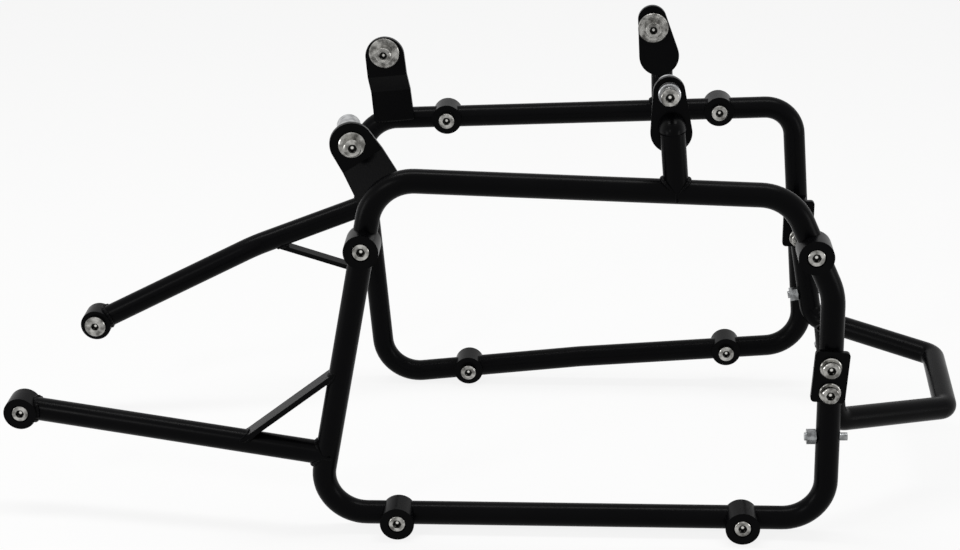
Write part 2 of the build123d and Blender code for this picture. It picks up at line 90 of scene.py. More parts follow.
class Slot(Enum):
    """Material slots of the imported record."""

    COATED = "coated_steel"
    BRIGHT = "stainless_steel"


def linear(hex_colour: str) -> tuple[float, float, float, float]:
    """Turns an sRGB hex colour to linear light.

    A channel c from 0 to 1 becomes c / 12.92 up to 0.04045, and above it the 2.4th power of
    (c + 0.055) / 1.055.

    Args:
        hex_colour: Colour as "#rrggbb".

    Returns:
        Linear red, green, blue and an alpha of 1.
    """
    channels = np.array([int(hex_colour[i:i + 2], 16) for i in (1, 3, 5)]) / 255.0
    bent = np.where(channels <= 0.04045, channels / 12.92, ((channels + 0.055) / 1.055) ** 2.4)
    return (float(bent[0]), float(bent[1]), float(bent[2]), 1.0)


def per_metre(spacing: float) -> float:
    """Works out the scale of a noise pattern on Object coordinates: 1 over the spacing.

    Args:
        spacing: Distance between the pattern's blobs in millimetres.

    Returns:
        The scale per metre.
    """
    return 1.0 / (spacing * MM)


def add_node(
    tree: bpy.types.NodeTree, kind: str, inputs: dict | None = None, **settings: object
) -> bpy.types.Node:
    """Adds a node with its settings, values and links.

    Args:
        tree: Node tree that takes the node.
        kind: Blender's name of the node type.
        inputs: Sockets by name or index; an output socket is linked, anything else is a value.
        **settings: Properties of the node.

    Returns:
        The new node.
    """
    node = tree.nodes.new(kind)
    for name, value in settings.items():
        setattr(node, name, value)
    for name, value in (inputs or {}).items():
        if isinstance(value, bpy.types.NodeSocket):
            tree.links.new(value, node.inputs[name])
        else:
            node.inputs[name].default_value = value
    return node


def new_material(name: str) -> tuple[bpy.types.Material, bpy.types.NodeTree]:
    """Makes a material with an empty node tree.

    Args:
        name: The material's name.

    Returns:
        The material and its node tree.
    """
    material = bpy.data.materials.new(name)
    material.use_nodes = True
    material.node_tree.nodes.clear()
    return material, material.node_tree


@dataclass(frozen=True)
class PowderCoat:
    """Polyester powder, sprayed dry on steel and baked to a satin black."""

    # To the eye: an even near-black on which the lamps draw soft streaks along the tubes, a little
    # cloudy in tone and gloss, with the faint peel that melted powder leaves.
    name: str = "powder_coated_steel_satin_black"
    dark: str = "#030304"
    light: str = "#070708"
    roughness: tuple[float, float] = (0.24, 0.32)
    # Far below the usual 0.5, because the photograph's contrast swallows most of the gloss
    specular: float = 0.035
    cloud_spacing: float = 38.0
    cloud_detail: float = 4.0
    peel_spacing: float = 1.6
    peel_detail: float = 1.0
    peel_depth: float = 0.05
    # The powder's grain is finer than this, and is drawn coarse enough to show
    grain_spacing: float = 0.45
    grain_detail: float = 2.0
    grain_depth: float = 0.012
    bump_strength: float = 0.5

    def material(self) -> bpy.types.Material:
        """Builds the coat: cloudy tone and gloss, the peel, and the grain on top of the peel.

        Returns:
            The material.
        """
        material, tree = new_material(self.name)
        place = add_node(tree, "ShaderNodeTexCoord").outputs["Object"]
        patterns = (
            (self.cloud_spacing, self.cloud_detail),
            (self.peel_spacing, self.peel_detail),
            (self.grain_spacing, self.grain_detail),
        )
        cloud, peel, grain = (
            add_node(
                tree,
                "ShaderNodeTexNoise",
                {"Vector": place, "Scale": per_metre(spacing), "Detail": detail},
            ).outputs[0]
            for spacing, detail in patterns
        )
        tone = add_node(
            tree,
            "ShaderNodeMix",
            {MIX_SHARE: cloud, MIX_FIRST: linear(self.dark), MIX_SECOND: linear(self.light)},
            data_type="RGBA",
        ).outputs[MIX_RESULT]
        gloss = add_node(
            tree,
            "ShaderNodeMapRange",
            {
                "Value": cloud,
                "From Min": NOISE_LOW,
                "From Max": NOISE_HIGH,
                "To Min": self.roughness[0],
                "To Max": self.roughness[1],
            },
        ).outputs[0]
        peeled = add_node(
            tree,
            "ShaderNodeBump",
            {"Strength": self.bump_strength, "Distance": self.peel_depth * MM, "Height": peel},
        ).outputs[0]
        grained = add_node(
            tree,
            "ShaderNodeBump",
            {
                "Strength": self.bump_strength,
                "Distance": self.grain_depth * MM,
                "Height": grain,
                "Normal": peeled,
            },
        ).outputs[0]
        shader = add_node(
            tree,
            "ShaderNodeBsdfPrincipled",
            {
                "Base Color": tone,
                "Roughness": gloss,
                "Specular IOR Level": self.specular,
                "Normal": grained,
            },
        ).outputs[0]
        add_node(tree, "ShaderNodeOutputMaterial", {"Surface": shader})
        return material


@dataclass(frozen=True)
class Turn:
    """Turn of a group of pieces about an upright axis, in millimetres and degrees."""

    x: float
    y: float
    degrees: float

    def undone(
        self, tree: bpy.types.NodeTree, place: bpy.types.NodeSocket
    ) -> bpy.types.NodeSocket:
        """Turns Object coordinates back about the axis, so that the group's screw lies along Y.

        The shift is the axis less the axis turned back, so that the axis itself stays in place.

        Args:
            tree: Node tree of a material.
            place: Object coordinates.

        Returns:
            The coordinates before the turn.
        """
        angle = radians(-self.degrees)
        shift = (
            (self.x - self.x * cos(angle) + self.y * sin(angle)) * MM,
            (self.y - self.x * sin(angle) - self.y * cos(angle)) * MM,
            0.0,
        )
        return add_node(
            tree,
            "ShaderNodeMapping",
            {"Vector": place, "Location": shift, "Rotation": (0.0, 0.0, angle)},
        ).outputs[0]


@dataclass(frozen=True)
class TurnedMetal:
    """Turned metal in blotches of painted reflection; a screw's broached socket gets painted shade.
    """

    name: str
    dark: str
    light: str
    roughness: tuple[float, float]
    # Real tool marks are finer, and are drawn coarse enough to show
    ring_spacing: float = 0.55
    ring_depth: float = 0.02
    ring_strength: float = 0.4
    cloud_spacing: float = 5.0
    cloud_detail: float = 3.0
    # Values of the cloud between which the tone goes from dark to light, in random blotches painted
    # to stand in for patchy reflections
    reflection_patch_edge: tuple[float, float] = (0.36, 0.64)
    streak_spacing: float = 0.5
    streak_detail: float = 2.0
    # Painted shade in the key socket, fading out between these radii in millimetres
    socket_painted_shade: str = "#141413"
    socket_shade_edge: tuple[float, float] = (2.9, 3.5)
    # Painted highlight at the socket's centre, where the cone of its drilled bottom would catch the
    # light
    drill_painted_highlight: str = "#c9c8c3"
    drill_highlight_edge: tuple[float, float] = (0.8, 1.3)

    def material(
        self,
        name: str,
        centres: list[tuple[float, float]],
        turn: Turn | None = None,
        socket: bool = False,
    ) -> bpy.types.Material:
        """Builds the metal for one piece.

        The rings' height is the sine of the distance from the nearest axis, one wave a ring.

        Args:
            name: Name of the piece, which the material's name ends with.
            centres: The turning axes along Y, as x and z in millimetres.
            turn: Turn of the piece's group, where it has one.
            socket: Whether the piece has key sockets on its axes, painted with shade round a
                highlight.

        Returns:
            The material.
        """
        material, tree = new_material(f"{self.name}_{name}")
        place = add_node(tree, "ShaderNodeTexCoord").outputs["Object"]
        if turn:
            place = turn.undone(tree, place)
        radius = self.radius(tree, place, centres)
        phase = add_node(
            tree,
            "ShaderNodeMath",
            {0: radius, 1: tau / (self.ring_spacing * MM)},
            operation="MULTIPLY",
        ).outputs[0]
        rings = add_node(tree, "ShaderNodeMath", {0: phase}, operation="SINE").outputs[0]
        patterns = (
            (self.cloud_spacing, self.cloud_detail),
            (self.streak_spacing, self.streak_detail),
        )
        cloud, streaks = (
            add_node(
                tree,
                "ShaderNodeTexNoise",
                {"Vector": place, "Scale": per_metre(spacing), "Detail": detail},
            ).outputs[0]
            for spacing, detail in patterns
        )
        # Random blotches between the dark and the light tone, painted to stand in for patchy
        # reflections
        reflection_patch = add_node(
            tree,
            "ShaderNodeMapRange",
            {"Value": cloud, "From Min": self.reflection_patch_edge[0], "From Max": self.reflection_patch_edge[1]},
        ).outputs[0]
        tone = add_node(
            tree,
            "ShaderNodeMix",
            {MIX_SHARE: reflection_patch, MIX_FIRST: linear(self.dark), MIX_SECOND: linear(self.light)},
            data_type="RGBA",
        ).outputs[MIX_RESULT]
        # Screws get painted shade in their key socket and a painted highlight at its centre
        if socket:
            tone = self.painted_light_round_axis(tree, radius, tone, self.socket_painted_shade, self.socket_shade_edge)
            tone = self.painted_light_round_axis(tree, radius, tone, self.drill_painted_highlight, self.drill_highlight_edge)
        gloss = add_node(
            tree,
            "ShaderNodeMapRange",
            {
                "Value": streaks,
                "From Min": NOISE_LOW,
                "From Max": NOISE_HIGH,
                "To Min": self.roughness[0],
                "To Max": self.roughness[1],
            },
        ).outputs[0]
        normal = add_node(
            tree,
            "ShaderNodeBump",
            {"Strength": self.ring_strength, "Distance": self.ring_depth * MM, "Height": rings},
        ).outputs[0]
        shader = add_node(
            tree,
            "ShaderNodeBsdfPrincipled",
            {"Base Color": tone, "Metallic": 1.0, "Roughness": gloss, "Normal": normal},
        ).outputs[0]
        add_node(tree, "ShaderNodeOutputMaterial", {"Surface": shader})
        return material

    def radius(
        self,
        tree: bpy.types.NodeTree,
        place: bpy.types.NodeSocket,
        centres: list[tuple[float, float]],
    ) -> bpy.types.NodeSocket:
        """Works out the distance from the nearest axis: the least distance from (x, z) to a centre.

        Args:
            tree: Node tree of the metal.
            place: Coordinates in which the axes lie along Y.
            centres: The axes, as x and z in millimetres.

        Returns:
            The distance in metres.
        """
        flat = add_node(
            tree, "ShaderNodeVectorMath", {0: place, 1: (1.0, 0.0, 1.0)}, operation="MULTIPLY"
        ).outputs[0]
        distances = [
            add_node(
                tree,
                "ShaderNodeVectorMath",
                {0: flat, 1: (x * MM, 0.0, z * MM)},
                operation="DISTANCE",
            ).outputs["Value"]
            for x, z in centres
        ]
        nearest = distances[0]
        for distance in distances[1:]:
            nearest = add_node(
                tree, "ShaderNodeMath", {0: nearest, 1: distance}, operation="MINIMUM"
            ).outputs[0]
        return nearest

    def painted_light_round_axis(
        self,
        tree: bpy.types.NodeTree,
        radius: bpy.types.NodeSocket,
        tone: bpy.types.NodeSocket,
        painted_light_tone: str,
        edge: tuple[float, float],
    ) -> bpy.types.NodeSocket:
        """Paints a tone round the axes: the socket's painted shade and its painted highlight.

        Args:
            tree: Node tree of the metal.
            radius: Distance from the nearest axis in metres.
            tone: Tone outside the edge.
            painted_light_tone: Tone inside the edge.
            edge: Radii in millimetres between which the tone changes.

        Returns:
            The tone with its centre.
        """
        outside = add_node(
            tree,
            "ShaderNodeMapRange",
            {"Value": radius, "From Min": edge[0] * MM, "From Max": edge[1] * MM},
        ).outputs[0]
        return add_node(
            tree,
            "ShaderNodeMix",
            {MIX_SHARE: outside, MIX_FIRST: linear(painted_light_tone), MIX_SECOND: tone},
            data_type="RGBA",
        ).outputs[MIX_RESULT]


# To the eye: bright and a little warm, with sharp reflections and patchy painted reflection
STAINLESS = TurnedMetal("stainless_steel_turned", "#5f5e5b", "#b2b1ad", (0.1, 0.22))
# To the eye: a colder and duller grey than stainless steel
ZINC = TurnedMetal("zinc_plated_steel", "#5a5b5c", "#939596", (0.18, 0.32))
# To the eye: pale, with broad satin reflections and clearer rings
ALUMINIUM = TurnedMetal(
    "aluminium_turned_satin", "#77787a", "#b4b5b6", (0.24, 0.36), ring_depth=0.03
)


def unit(vectors: np.ndarray) -> np.ndarray:
    """Brings vectors to length 1.

    Args:
        vectors: Vectors along the last axis.

    Returns:
        The vectors over their lengths.
    """
    return vectors / np.linalg.norm(vectors, axis=-1, keepdims=True)


def toward(start: np.ndarray, end: np.ndarray, distance: float) -> np.ndarray:
    """Finds a point on the line from one point to another.

    Args:
        start: Point that the distance is measured from.
        end: Point that the line runs to.
        distance: Distance from the start.

    Returns:
        The point.
    """
    return start + unit(end - start) * distance


def leaning(degrees: float) -> tuple[np.ndarray, np.ndarray]:
    """Works out the directions of a tab that leans in its rack's plane.

    Down the tab is (sin a, 0, -cos a) and across it is (cos a, 0, sin a).

    Args:
        degrees: Lean from the upright.

    Returns:
        Unit directions down and across the tab.
    """
    lean = radians(degrees)
    return np.array((sin(lean), 0.0, -cos(lean))), np.array((cos(lean), 0.0, sin(lean)))


@dataclass(frozen=True)
class Tube:
    """Round tube along a line of points."""

    line: np.ndarray
    radius: float

    def nearest(self, points: np.ndarray) -> np.ndarray:
        """Finds the nearest points of the tube's line.

        A point p projects on each run from a to b at the share ((p - a) . (b - a)) / |b - a|
        squared, held between 0 and 1, and the run with the shortest distance counts.

        Args:
            points: Points, one a row.

        Returns:
            The nearest points on the line, one a row.
        """
        start, run = self.line[:-1], np.diff(self.line, axis=0)
        offset = points[:, None, :] - start[None]
        share = np.clip((offset * run).sum(-1) / (run * run).sum(-1), 0.0, 1.0)
        feet = start[None] + share[..., None] * run[None]
        best = np.linalg.norm(points[:, None, :] - feet, axis=-1).argmin(1)
        return feet[np.arange(len(points)), best]

    def carry(
        self, points: np.ndarray, direction: np.ndarray, low: float, high: float
    ) -> np.ndarray:
        """Slides points along a direction until they lie on the tube's surface.

        The slide is halved again and again between low, inside the tube, and high, outside it.

        Args:
            points: Points, one a row.
            direction: Unit direction out of the tube.
            low: Slide that is inside the tube, in millimetres.
            high: Slide that is outside the tube, in millimetres.

        Returns:
            The points on the surface.
        """
        inner = np.full(len(points), low)
        outer = np.full(len(points), high)
        for _ in range(HALVINGS):
            half = (inner + outer) / 2.0
            moved = points + half[:, None] * direction
            inside = np.linalg.norm(moved - self.nearest(moved), axis=1) < self.radius
            inner = np.where(inside, half, inner)
            outer = np.where(inside, outer, half)
        return points + outer[:, None] * direction


def bent_line(corners: np.ndarray, radii: list[float], samples: int = 24) -> np.ndarray:
    """Works out the closed line of a hoop through its corners, each rounded by an arc.

    At a corner with unit runs u and v, the arc's centre lies at radius / sin(half the angle) on
    their bisector, and the arc's points are the centre plus the radius times unit vectors that turn
    evenly from one tangent point to the other.

    Args:
        corners: Corners, one a row.
        radii: Bend radius at each corner.
        samples: Points on each arc.

    Returns:
        Points of the closed line.
    """
    arcs = []
    share = np.linspace(0.0, 1.0, samples)[:, None]
    for index, radius in enumerate(radii):
        corner = corners[index]
        back = unit(corners[index - 1] - corner)
        ahead = unit(corners[(index + 1) % len(corners)] - corner)
        half = np.arccos(np.clip(back @ ahead, -1.0, 1.0)) / 2.0
        centre = corner + unit(back + ahead) * radius / np.sin(half)
        first = corner + back * radius / np.tan(half) - centre
        last = corner + ahead * radius / np.tan(half) - centre
        turn = pi - 2.0 * half
        swung = first * np.sin((1.0 - share) * turn) + last * np.sin(share * turn)
        arcs.append(centre + swung / np.sin(turn))
    line = np.concatenate(arcs)
    return np.vstack([line, line[:1]])


def skin(rows: np.ndarray, closed: bool) -> tuple[np.ndarray, np.ndarray]:
    """Turns a grid of points into vertices and quads.

    Vertex (i, j) joins (i, j + 1), (i + 1, j + 1) and (i + 1, j), with j going round.

    Args:
        rows: Points on a grid, shaped along, round, 3.
        closed: Whether the last row joins the first.

    Returns:
        Vertices and quads.
    """
    count, sides = rows.shape[:2]
    i = np.arange(count if closed else count - 1)[:, None]
    j = np.arange(sides)[None, :]
    after, beside = (i + 1) % count, (j + 1) % sides
    quads = np.stack(
        [i * sides + j, i * sides + beside, after * sides + beside, after * sides + j], axis=-1
    )
    return rows.reshape(-1, 3), quads.reshape(-1, 4)


def grid_piece(
    name: str, rows: np.ndarray, closed: bool
) -> bpy.types.Object:
    """Makes the object of a grid of points, with coincident points at its poles merged.

    Args:
        name: Name of the piece.
        rows: Points in millimetres on a grid, shaped along, round, 3.
        closed: Whether the last row joins the first.

    Returns:
        The object, on its body.
    """
    vertices, quads = skin(rows, closed)
    mesh = bpy.data.meshes.new(name)
    mesh.from_pydata(vertices * MM, [], quads)
    shell = bmesh.new()
    shell.from_mesh(mesh)
    bmesh.ops.remove_doubles(shell, verts=shell.verts, dist=MERGE * MM)
    bmesh.ops.recalc_face_normals(shell, faces=shell.faces)
    shell.to_mesh(mesh)
    shell.free()
    mesh.shade_smooth()
    piece = bpy.data.objects.new(name, mesh)
    bpy.context.scene.collection.objects.link(piece)
    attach(piece, ROOT)
    return piece


@dataclass(frozen=True)
class Bead:
    """Weld bead: a rippled round seam along a line."""

    radius: float = 2.3
    ripple: float = 0.11
    ripple_spacing: float = 2.6
    sides: int = 12
    end_power: int = 8
    end_root: float = 0.25

    def rows(
        self,
        line: np.ndarray,
        outward: np.ndarray,
        closed: bool,
        share: np.ndarray | float = 1.0,
    ) -> np.ndarray:
        """Carries the bead's section along a line.

        The point at angle t is the line's point plus r (cos t n + sin t b), where n is the outward
        direction, b stands across line and n, and r swells by the ripple once every ripple spacing.
        An open bead's r falls to nothing at both ends by the fourth root of 1 less the 8th power of
        s, which runs from -1 to 1 along the bead.

        Args:
            line: Points of the seam, one a row.
            outward: Direction away from the two joined pieces at each point.
            closed: Whether the seam closes on itself.
            share: Share of the full radius at each point.

        Returns:
            Points on a grid, shaped along, round, 3.
        """
        count = len(line)
        if closed:
            tangent = unit(np.roll(line, -1, axis=0) - np.roll(line, 1, axis=0))
            steps = np.linalg.norm(np.roll(line, -1, axis=0) - line, axis=1)
        else:
            tangent = unit(np.gradient(line, axis=0))
            steps = np.linalg.norm(np.diff(line, axis=0, append=line[-1:]), axis=1)
        travel = np.concatenate([[0.0], np.cumsum(steps)])
        waves = max(1, round(travel[-1] / self.ripple_spacing))
        phase = tau * waves * travel[:count] / travel[-1]
        swell = share * self.radius * (1.0 + self.ripple * np.sin(phase))
        if not closed:
            run = np.linspace(-1.0, 1.0, count)
            swell = swell * np.clip(1.0 - run ** self.end_power, 0.0, 1.0) ** self.end_root
        beside = unit(np.cross(tangent, outward))
        normal = np.cross(beside, tangent)
        angle = np.linspace(0.0, tau, self.sides, endpoint=False)[None, :, None]
        ring = np.cos(angle) * normal[:, None, :] + np.sin(angle) * beside[:, None, :]
        return line[:, None, :] + swell[:, None, None] * ring

    def piece(
        self,
        name: str,
        line: np.ndarray,
        outward: np.ndarray,
        closed: bool,
        share: np.ndarray | float = 1.0,
    ) -> bpy.types.Object:
        """Makes the bead's object.

        Args:
            name: Name of the piece.
            line: Points of the seam in millimetres.
            outward: Direction away from the joined pieces at each point.
            closed: Whether the seam closes on itself.
            share: Share of the full radius at each point.

        Returns:
            The object, on its body.
        """
        return grid_piece(name, self.rows(line, outward, closed, share), closed)


@dataclass(frozen=True)
class Section:
    """Outline of a bar's cross-section: a superellipse of two half widths."""

    half_width: float
    half_height: float
    squareness: float = 2.0
    points: int = 96

    def loop(self, wide: np.ndarray, high: np.ndarray) -> np.ndarray:
        """Works out the outline round the bar's axis.

        At angle t the offset is a |cos t|^(2/n) sign(cos t) along the width plus
        b |sin t|^(2/n) sign(sin t) along the height, with n the squareness.

        Args:
            wide: Unit direction of the width.
            high: Unit direction of the height.

        Returns:
            Offsets from the axis, one a row.
        """
        angle = np.linspace(0.0, tau, self.points, endpoint=False)
        power = 2.0 / self.squareness
        x = self.half_width * np.sign(np.cos(angle)) * np.abs(np.cos(angle)) ** power
        z = self.half_height * np.sign(np.sin(angle)) * np.abs(np.sin(angle)) ** power
        return x[:, None] * wide + z[:, None] * high


@dataclass(frozen=True)
class Joint:
    """End of a bar that is welded on a tube."""

    name: str
    tube: Tube
    root: np.ndarray
    direction: np.ndarray
    section: Section
    width_direction: tuple[float, float, float] = (0.0, 1.0, 0.0)
    bead: Bead = Bead()
    inside: float = -5.0
    outside: float = 60.0
    fade: float = 0.88

    def weld(self) -> bpy.types.Object:
        """Runs a bead round the seam, where the bar's outline meets the tube.

        The seam's outward direction is the sum of the tube's radial direction and the bar's own.
        Where the two are square to each other the bead is full, and it fades by the square of their
        cosine to where the bar runs flush with the tube.

        Returns:
            The bead.
        """
        ahead = unit(self.direction)
        across = np.array(self.width_direction)
        wide = unit(across - ahead * (across @ ahead))
        outline = self.section.loop(wide, np.cross(ahead, wide))
        seam = self.tube.carry(self.root + outline, ahead, self.inside, self.outside)
        radial = unit(seam - self.tube.nearest(seam))
        side = unit(outline)
        flush = np.clip((radial * side).sum(-1), 0.0, 1.0) ** 2
        share = 1.0 - self.fade * flush
        return self.bead.piece(self.name, seam, unit(radial + side), closed=True, share=share)


@dataclass
class SideRack:
    """One side rack: its hoop, arm, brace and upright, and the welds that join them."""

    side: str
    plane: float
    corners: list[tuple[float, float]]
    radii: list[float]
    arm_route: list[tuple[float, float, float]]
    brace_ends: tuple[tuple[float, float, float], tuple[float, float, float]]
    brace_width: float
    upright_foot: tuple[float, float]
    upright_top: tuple[float, float]
    plate_side: float
    boss_radius: float = 12.75
    boss_reach: float = 60.0
    brace_thickness: float = 4.0
    brace_squareness: float = 8.0
    plate_seam_offset: float = 4.6
    plate_seam_length: float = 24.0
    plate_bead: Bead = Bead(radius=1.5, ripple_spacing=2.2)
    seam_points: int = 60

    def hoop(self) -> Tube:
        """Places the hoop.

        Returns:
            The hoop's tube.
        """
        corners = np.array([(x, self.plane, z) for x, z in self.corners])
        return Tube(bent_line(corners, self.radii), TUBE_RADIUS)

    def arm(self) -> Tube:
        """Places the arm.

        Returns:
            The arm's tube, along its straight runs.
        """
        return Tube(np.array(self.arm_route), TUBE_RADIUS)

    def boss(self) -> Tube:
        """Places the boss at the arm's front end.

        Returns:
            The boss as a tube along Y.
        """
        x, y, z = self.arm_route[-1]
        ends = [(x, y + reach, z) for reach in (-self.boss_reach, self.boss_reach)]
        return Tube(np.array(ends), self.boss_radius)

    def upright(self) -> tuple[np.ndarray, np.ndarray]:
        """Places the upright's post.

        Returns:
            The foot and the top of its axis.
        """
        (foot_x, foot_z), (top_x, top_z) = self.upright_foot, self.upright_top
        return np.array((foot_x, self.plane, foot_z)), np.array((top_x, self.plane, top_z))

    def joints(self) -> list[Joint]:
        """Lists the welded ends of the round and flat bars.

        Returns:
            The joints of the arm, brace and upright.
        """
        round_bar = Section(TUBE_RADIUS, TUBE_RADIUS)
        flat_bar = Section(
            self.brace_width / 2.0, self.brace_thickness / 2.0, self.brace_squareness
        )
        hoop, arm, boss = self.hoop(), self.arm(), self.boss()
        route = np.array(self.arm_route)
        low, high = (np.array(end) for end in self.brace_ends)
        foot, top = self.upright()
        ends = (
            ("arm_root", hoop, route[0], route[1] - route[0], round_bar),
            ("arm_boss", boss, route[-1], route[-2] - route[-1], round_bar),
            ("brace_arm", arm, low, high - low, flat_bar),
            ("brace_post", hoop, high, low - high, flat_bar),
            ("upright", hoop, foot, top - foot, round_bar),
        )
        return [Joint(f"{self.side}_{name}_weld", *end) for name, *end in ends]

    def plate_seams(self) -> list[bpy.types.Object]:
        """Runs two straight beads between the upright's post and its plate.

        Each lies beside the line where the post touches the plate, on the plate's face.

        Returns:
            The two beads.
        """
        foot, top = self.upright()
        along = unit(top - foot)
        beside = np.cross(along, ACROSS)
        share = np.linspace(0.0, 1.0, self.seam_points)[:, None]
        touch = top + ACROSS * self.plate_side * (TUBE_RADIUS - self.plate_bead.radius / 2.0)
        beads = []
        for end, hand in (("front", -1.0), ("rear", 1.0)):
            start = touch + beside * hand * self.plate_seam_offset
            line = start - along * share * self.plate_seam_length
            outward = np.broadcast_to(beside * hand - ACROSS * self.plate_side, line.shape)
            name = f"{self.side}_plate_{end}_weld"
            beads.append(self.plate_bead.piece(name, line, outward, closed=False))
        return beads

    def build(self) -> list[bpy.types.Object]:
        """Makes the rack's weld beads.

        Returns:
            The beads.
        """
        return [joint.weld() for joint in self.joints()] + self.plate_seams()


@dataclass
class FlatTab:
    """Front tab whose foot ends against the side of the right top tube, with one bead under it."""

    name: str = "right_tab_weld"
    head: tuple[float, float] = (-92.4, 304.0)
    lean: float = 5.5
    length: float = 58.5
    foot_width: float = 34.0
    face: float = 130.9
    bead: Bead = Bead(radius=2.0)
    points: int = 90

    def build(self) -> list[bpy.types.Object]:
        """Runs the bead along the tab's lower edge.

        Returns:
            The bead.
        """
        along, edge = leaning(self.lean)
        middle = np.array((self.head[0], self.face, self.head[1])) + along * self.length
        share = np.linspace(-0.5, 0.5, self.points)[:, None]
        line = middle + edge * share * self.foot_width
        outward = np.broadcast_to(along - ACROSS, line.shape)
        return [self.bead.piece(self.name, line, outward, closed=False)]


@dataclass
class SlantedTab:
    """Front tab whose slanted plate ends on the left hoop's front bend."""

    tube: Tube
    name: str = "left_tab_weld"
    head: tuple[float, float] = LEFT_TAB_HEAD
    face: float = LEFT_TAB_FACE
    turn: float = LEFT_TAB_TURN
    lean: float = 31.0
    fold: float = 15.0
    slant: float = 26.0
    joggle: float = 19.0
    wall: float = 4.0
    # Width and shift of the part of the plate that meets the bend
    width: float = 24.0
    shift: float = -5.5
    squareness: float = 10.0
    bead: Bead = Bead(radius=1.8)

    def build(self) -> list[bpy.types.Object]:
        """Runs a bead round the part of the plate that meets the bend; the rest passes behind it.

        The plate's directions are worked out square to the frame, then turned about the head's
        upright axis: x becomes x cos a - y sin a, and y becomes x sin a + y cos a.

        Returns:
            The bead.
        """
        turn = radians(self.turn)
        spin = np.array(
            ((cos(turn), sin(turn), 0.0), (-sin(turn), cos(turn), 0.0), (0.0, 0.0, 1.0))
        )
        along, edge = leaning(self.lean)
        rise = unit(ACROSS * self.joggle - along * self.slant)
        depth = self.wall / 2.0 - self.joggle
        low = along * (self.fold + self.slant) + edge * self.shift + ACROSS * depth
        pivot = np.array((self.head[0], self.face, self.head[1]))
        joint = Joint(
            self.name,
            self.tube,
            pivot + low @ spin,
            rise @ spin,
            Section(self.width / 2.0, self.wall / 2.0, self.squareness),
            tuple(edge @ spin),
            self.bead,
            inside=0.0,
        )
        return [joint.weld()]


@dataclass
class PostCap:
    """Weld metal that closes the top of an upright's post and runs up its plate."""

    side: str
    plane: float
    top: tuple[float, float]
    plate_side: float
    half_width: float = 10.2
    height: float = 12.0
    sink: float = 4.0
    bite: float = 2.0
    rows: int = 40
    columns: int = 64

    def build(self) -> list[bpy.types.Object]:
        """Makes the cap, an ellipsoid about the top of the line where post and plate touch.

        At longitude u and latitude v the offset is half_width cos u cos v along the rack, the
        tube's diameter times sin u cos v away from the plate, and height sin v upwards. Its half in
        the plate is squeezed to the bite, and its half in the post to the sink.

        Returns:
            The cap.
        """
        u = np.linspace(0.0, tau, self.columns, endpoint=False)[None, :]
        v = np.linspace(-pi / 2.0, pi / 2.0, self.rows)[:, None]
        out = np.sin(u) * np.cos(v)
        rise = np.sin(v) * np.ones_like(u)
        x = self.top[0] + self.half_width * np.cos(u) * np.cos(v)
        reach = out * np.where(out > 0.0, 2.0 * TUBE_RADIUS, self.bite)
        y = self.plane + self.plate_side * (TUBE_RADIUS - reach)
        z = self.top[1] + rise * np.where(rise > 0.0, self.height, self.sink)
        rows = np.stack([x, y, z], axis=-1)
        return [grid_piece(f"{self.side}_post_cap_weld", rows, closed=False)]


@dataclass
class ScrewThread:
    """Rolled thread on the free end of a mounting screw, as a round ridge along a helix."""

    screw: str
    start: tuple[float, float, float]
    turn: float = 0.0
    length: float = 8.75
    radius: float = 3.75
    pitch: float = 1.25
    ridge: Bead = Bead(radius=0.45, ripple=0.0, sides=8)
    points: int = 260

    def build(self) -> bpy.types.Object:
        """Makes the ridge.

        At angle t the line is the start plus the axis times pitch t / 2 pi plus the radius times
        (cos t along the frame + sin t upwards), all turned with the screw.

        Returns:
            The ridge.
        """
        angle = np.linspace(0.0, tau * self.length / self.pitch, self.points)[:, None]
        turn = radians(self.turn)
        axis = np.array((-sin(turn), cos(turn), 0.0))
        level = np.array((cos(turn), sin(turn), 0.0))
        radial = np.cos(angle) * level + np.sin(angle) * UP
        line = np.array(self.start) + axis * self.pitch * angle / tau + radial * self.radius
        rows = self.ridge.rows(line, radial, closed=False)
        return grid_piece(f"{self.screw}_thread", rows, closed=False)


